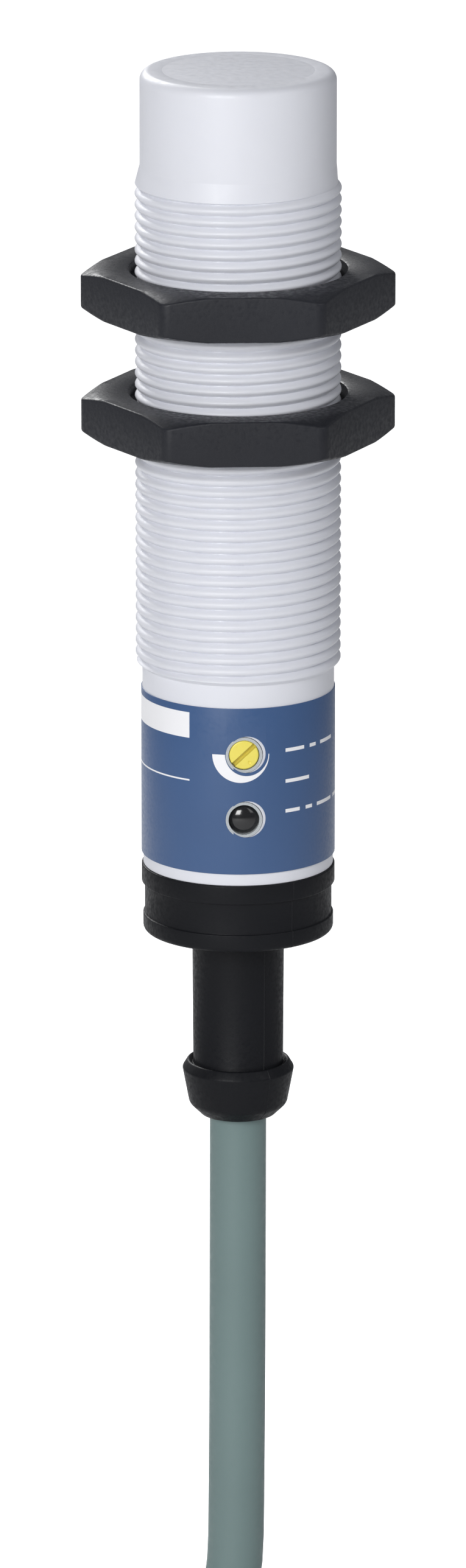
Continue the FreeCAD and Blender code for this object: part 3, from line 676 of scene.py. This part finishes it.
def light():
    face = -GUIDE_LOW.y
    radius = GUIDE_HIGH.x
    back = -GUIDE_HIGH.y
    outline = []
    for degrees in range(0, 91, 9):
        angle = math.radians(degrees)
        outline.append((radius * math.sin(angle), face - CROWN_DROP * (1 - math.cos(angle))))
    outline += [(radius, back), (0.0, back)]
    mesh = face_front(disc_lathe(outline, TURNED_COLUMNS), LIGHT_Z)
    guide = piece("light_lens", mesh, "barrel", "light_dark", 60.0)
    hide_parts("light_guide")


# ---------------------------------------------------------------- rear cap

SEAM_ANGLE = math.radians(-90.0 + 31.5)
SEAM_HEIGHT = 0.05
SEAM_HALF_WIDTH = 0.06
SEAM_FROM_RADIUS = 3.9
SEAM_STEP = math.radians(0.22)
SEAM_STEPS = 6

CAP_COLUMNS = 180
PLUG_BORE = 6.0
PLUG_RADIUS = 7.2
PLUG_FLOOR = 4.8
RIB_DEPTH = 1.7
WAIST_RADIUS = 8.225
WAIST_DEPTH = 4.5
FOOT_RADIUS = 8.375
FOOT_DEPTH = 6.1
NOZZLE_RADIUS = 4.05
CABLE_HOLE = 2.65
GROMMET_RADIUS = 3.2
GROMMET_DEPTH = 3.0
# the flared collar's corners: radius, height over the cap's end, fillet radius
COLLAR = [
    (3.975, 4.75, 0.0),
    (4.02, 4.62, 0.04),
    (4.42, 5.05, 0.18),
    (4.935, 4.2, 0.35),
    (4.33, 1.0, 0.9),
    (3.3, 0.0, 0.12),
]


def seam_angles(count):
    """Even angles with a few more close to the two mould seams."""
    angles = set(even_angles(count))
    for seam in (SEAM_ANGLE, SEAM_ANGLE + math.pi):
        for k in range(-SEAM_STEPS, SEAM_STEPS + 1):
            angles.add((seam + SEAM_STEP * k) % (2 * math.pi))
    return sorted(angles)


def rear_cap():
    rib = CAP_HIGH.x
    end = BARREL_END
    foot = CAP_LOW.z
    collar = [(r, foot + height, fillet) for r, height, fillet in COLLAR]
    outline = filleted([
        (PLUG_BORE, CAP_HIGH.z, 0.0), (PLUG_RADIUS, CAP_HIGH.z, 0.0), (PLUG_RADIUS, end, 0.0),
        (rib, end, 0.12), (rib, end - RIB_DEPTH, 0.12),
        (WAIST_RADIUS, end - RIB_DEPTH, 0.06), (WAIST_RADIUS, end - WAIST_DEPTH, 0.06),
        (FOOT_RADIUS, end - WAIST_DEPTH, 0.08), (FOOT_RADIUS, end - FOOT_DEPTH, 0.45),
        (NOZZLE_RADIUS, end - FOOT_DEPTH, 0.25), *collar,
        (GROMMET_RADIUS, foot, 0.0), (GROMMET_RADIUS, foot + GROMMET_DEPTH, 0.0),
        (CABLE_HOLE, foot + GROMMET_DEPTH, 0.0), (CABLE_HOLE, end - PLUG_FLOOR, 0.0),
        (PLUG_BORE, end - PLUG_FLOOR, 0.0),
    ])

    def radius(r, z, angle):
        if r < SEAM_FROM_RADIUS:
            return r
        bump = 0.0
        for seam in (SEAM_ANGLE, SEAM_ANGLE + math.pi):
            off = math.remainder(angle - seam, 2 * math.pi) * r
            bump = max(bump, 1 - abs(off) / SEAM_HALF_WIDTH)
        return r + SEAM_HEIGHT * max(0.0, bump)

    mesh = lathe(outline, seam_angles(CAP_COLUMNS), radius)
    cap = piece("rear_cap_moulding", mesh, "barrel", "cap_black", 40.0)
    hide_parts("rear_cap")


# ---------------------------------------------------------------- cable

# the cable's points, in metres, as the model has them
CABLE_ROUTE = [
    (0.0, 0.0, -0.0469),
    (0.0, 0.0, -0.071),
    (-0.0001, 0.0, -0.102),
    (-0.0003, 0.0, -0.116),
    (-0.0065, 0.0, -0.129),
    (-0.0185, 0.0, -0.139),
    (-0.0275, 0.0, -0.152),
]
COIL_INNER = 22.5
COIL_MIDDLE = 27.5
COIL_OUTER = 32.5
LAST_ROW = 7.5
INWARD = [COIL_OUTER, COIL_MIDDLE, COIL_INNER]
COIL_RADII = INWARD + INWARD[::-1] + INWARD + [COIL_INNER]
COIL_ROWS = [-LAST_ROW] * 3 + [-CABLE_RADIUS] * 3 + [CABLE_RADIUS] * 3 + [LAST_ROW]
POINTS_PER_TURN = 16
CONTROL_SPREAD = 1.0195
STEP_SHARE = 0.3
TAIL_RISES = (2.0, 9.0)


def eased(share):
    """A share from 0 to 1 that starts and ends gently."""
    return share * share * (3 - 2 * share)


def coil_points():
    """The wound turns: each holds its place in the bundle and steps to the next one's near its end."""
    centre = (COIL_LOW + COIL_HIGH) / 2
    ahead_radii = COIL_RADII[1:] + [COIL_MIDDLE]
    ahead_rows = COIL_ROWS[1:] + [LAST_ROW]
    points = []
    for turn, (radius, row) in enumerate(zip(COIL_RADII, COIL_ROWS)):
        for k in range(POINTS_PER_TURN):
            share = k / POINTS_PER_TURN
            blend = eased(max(0.0, (share - 1 + STEP_SHARE) / STEP_SHARE))
            angle = math.pi + 2 * math.pi * share
            wide = (radius + (ahead_radii[turn] - radius) * blend) * CONTROL_SPREAD
            deep = row + (ahead_rows[turn] - row) * blend
            if turn == 0 and k == 0:
                continue
            points.append(Vector((wide * math.cos(angle), deep, centre.z + wide * math.sin(angle))) * M)
    return points


def tail_points():
    """Half a turn more, out of the bundle, and up beside it to the jacket's end."""
    centre = (COIL_LOW + COIL_HIGH) / 2
    end_x = (TAIL_LOW.x + TAIL_HIGH.x) / 2
    half = POINTS_PER_TURN // 2
    points = []
    for k in range(half):
        share = k / half
        angle = math.pi + math.pi * share
        wide = COIL_MIDDLE + (end_x - COIL_MIDDLE) * eased(share)
        deep = LAST_ROW * (1 - share)
        points.append(Vector((wide * math.cos(angle), deep, centre.z + wide * math.sin(angle))) * M)
    for rise in TAIL_RISES:
        points.append(Vector((end_x, 0.0, TAIL_LOW.z + rise)) * M)
    points.append(Vector((end_x, 0.0, TAIL_HIGH.z)) * M)
    return points


def tube(name, points, radius, body, slot):
    """A round cord on one smooth NURBS spline."""
    data = bpy.data.curves.new(name, "CURVE")
    data.dimensions = "3D"
    data.bevel_depth = radius * M
    data.bevel_resolution = 8
    data.resolution_u = 6
    data.use_fill_caps = True
    spline = data.splines.new("NURBS")
    spline.points.add(len(points) - 1)
    for target, point in zip(spline.points, points):
        target.co = (*point, 1.0)
    spline.order_u = 3
    spline.use_endpoint_u = True
    made = bpy.data.objects.new(name, data)
    bpy.context.scene.collection.objects.link(made)
    data.materials.append(MATERIALS[slot])
    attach(made, body)
    return made


def cable(strap):
    route = [Vector(point) for point in CABLE_ROUTE] + coil_points() + tail_points()
    cord = tube("cable", route, CABLE_RADIUS, "barrel", "cable_grey")
    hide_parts("cable_tube", "cable_coil", "cable_tail")


# ---------------------------------------------------------------- tie round the put-away coil

TIE_CORNER = 3.2
TIE_THICK = 0.8
TIE_EDGE = 0.25
TIE_CORNER_STEPS = 6


def coil_tie():
    """A flat rubber strap with rounded edges that goes round the bundle's side."""
    low, high = span("coil_tie")
    middle = (low + high) / 2
    reach = (high - low) / 2
    half = reach.z
    section = []
    for across, along in ((0, -half), (TIE_THICK, -half), (TIE_THICK, half), (0, half)):
        section.append((across, along, TIE_EDGE))
    section = filleted(section, 3)
    path = []
    for corner in range(4):
        for step in range(TIE_CORNER_STEPS + 1):
            angle = math.pi / 2 * (corner + step / TIE_CORNER_STEPS)
            side_x = 1 if corner in (0, 3) else -1
            side_y = 1 if corner in (0, 1) else -1
            path.append((side_x * (reach.x - TIE_CORNER), side_y * (reach.y - TIE_CORNER), angle))

    def place(i, j):
        across, along = section[i]
        x, y, angle = path[j]
        out = TIE_CORNER - TIE_THICK + across
        return (middle + Vector((x + out * math.cos(angle), y + out * math.sin(angle), along))) * M

    strap = piece("coil_strap", ring_grid(len(section), len(path), place), "barrel", "seal_rubber")
    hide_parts("coil_tie")
    return strap


cable(coil_tie())
barrel()
face_disc()
nut("nut_upper", "upper_nut", -1.5)
nut("nut_lower", "lower_nut", -0.5)
label()
label_print()
trimmer()
light()
rear_cap()

# ---------------------------------------------------------------- stage

FLOOR_Z = COIL_LOW.z - 3.0
FLOOR_SIZE = 12.0
FLOOR_GREY = 0.85
FLOOR_GLOW = 0.85
WORLD_LIGHT = 0.24
WORLD_SEEN = 1.0
LAMP_DISTANCE = 900.0


def seen_directly(nodes, links):
    """1 for a camera ray or one that came through something clear, and 0 for any other."""
    path = nodes.new("ShaderNodeLightPath")
    seen = nodes.new("ShaderNodeMath")
    seen.operation = "MAXIMUM"
    links.new(path.outputs["Is Camera Ray"], seen.inputs[0])
    links.new(path.outputs["Is Transmission Ray"], seen.inputs[1])
    return seen.outputs[0]


def stage():
    """A plain pale floor, with a glow that only the camera and clear pieces see."""
    bpy.ops.mesh.primitive_plane_add(size=FLOOR_SIZE, location=(0.0, 0.0, FLOOR_Z * M))
    floor = bpy.context.object
    floor.name = "floor"
    material, nodes, links, shader = tree("floor_pale")
    shader.inputs["Base Color"].default_value = (FLOOR_GREY, FLOOR_GREY, FLOOR_GREY, 1.0)
    shader.inputs["Roughness"].default_value = 0.9
    shader.inputs["Specular IOR Level"].default_value = 0.0
    glow = nodes.new("ShaderNodeEmission")
    glow.inputs["Color"].default_value = (1.0, 1.0, 1.0, 1.0)
    strength = nodes.new("ShaderNodeMath")
    strength.operation = "MULTIPLY"
    strength.inputs[1].default_value = FLOOR_GLOW
    links.new(seen_directly(nodes, links), strength.inputs[0])
    links.new(strength.outputs[0], glow.inputs["Strength"])
    both = nodes.new("ShaderNodeAddShader")
    links.new(shader.outputs[0], both.inputs[0])
    links.new(glow.outputs[0], both.inputs[1])
    links.new(both.outputs[0], nodes["Material Output"].inputs["Surface"])
    floor.data.materials.append(material)


def world():
    made = bpy.data.worlds.new("studio")
    made.use_nodes = True
    bpy.context.scene.world = made
    nodes = made.node_tree.nodes
    links = made.node_tree.links
    background = nodes["Background"]
    background.inputs["Color"].default_value = (0.93, 0.95, 1.0, 1.0)
    level = nodes.new("ShaderNodeMapRange")
    level.inputs["To Min"].default_value = WORLD_LIGHT
    level.inputs["To Max"].default_value = WORLD_SEEN
    links.new(seen_directly(nodes, links), level.inputs["Value"])
    links.new(level.outputs["Result"], background.inputs["Strength"])


def softbox(name, azimuth, elevation, size, watts):
    """A square area light aimed at the barrel's middle."""
    data = bpy.data.lights.new(name, "AREA")
    data.shape = "SQUARE"
    data.size = size * M
    data.energy = watts
    lamp = bpy.data.objects.new(name, data)
    bpy.context.scene.collection.objects.link(lamp)
    turn, rise = math.radians(azimuth), math.radians(elevation)
    way = Vector((math.sin(turn) * math.cos(rise), -math.cos(turn) * math.cos(rise), math.sin(rise)))
    lamp.location = way * LAMP_DISTANCE * M
    lamp.rotation_euler = (-way).to_track_quat("-Z", "Y").to_euler()


stage()
world()
softbox("key", -24.0, 18.0, 380.0, 5.3)
softbox("fill", 50.0, 30.0, 500.0, 1.1)
softbox("rear", 202.0, 30.0, 420.0, 5.0)

bpy.context.scene.view_settings.view_transform = "Standard"
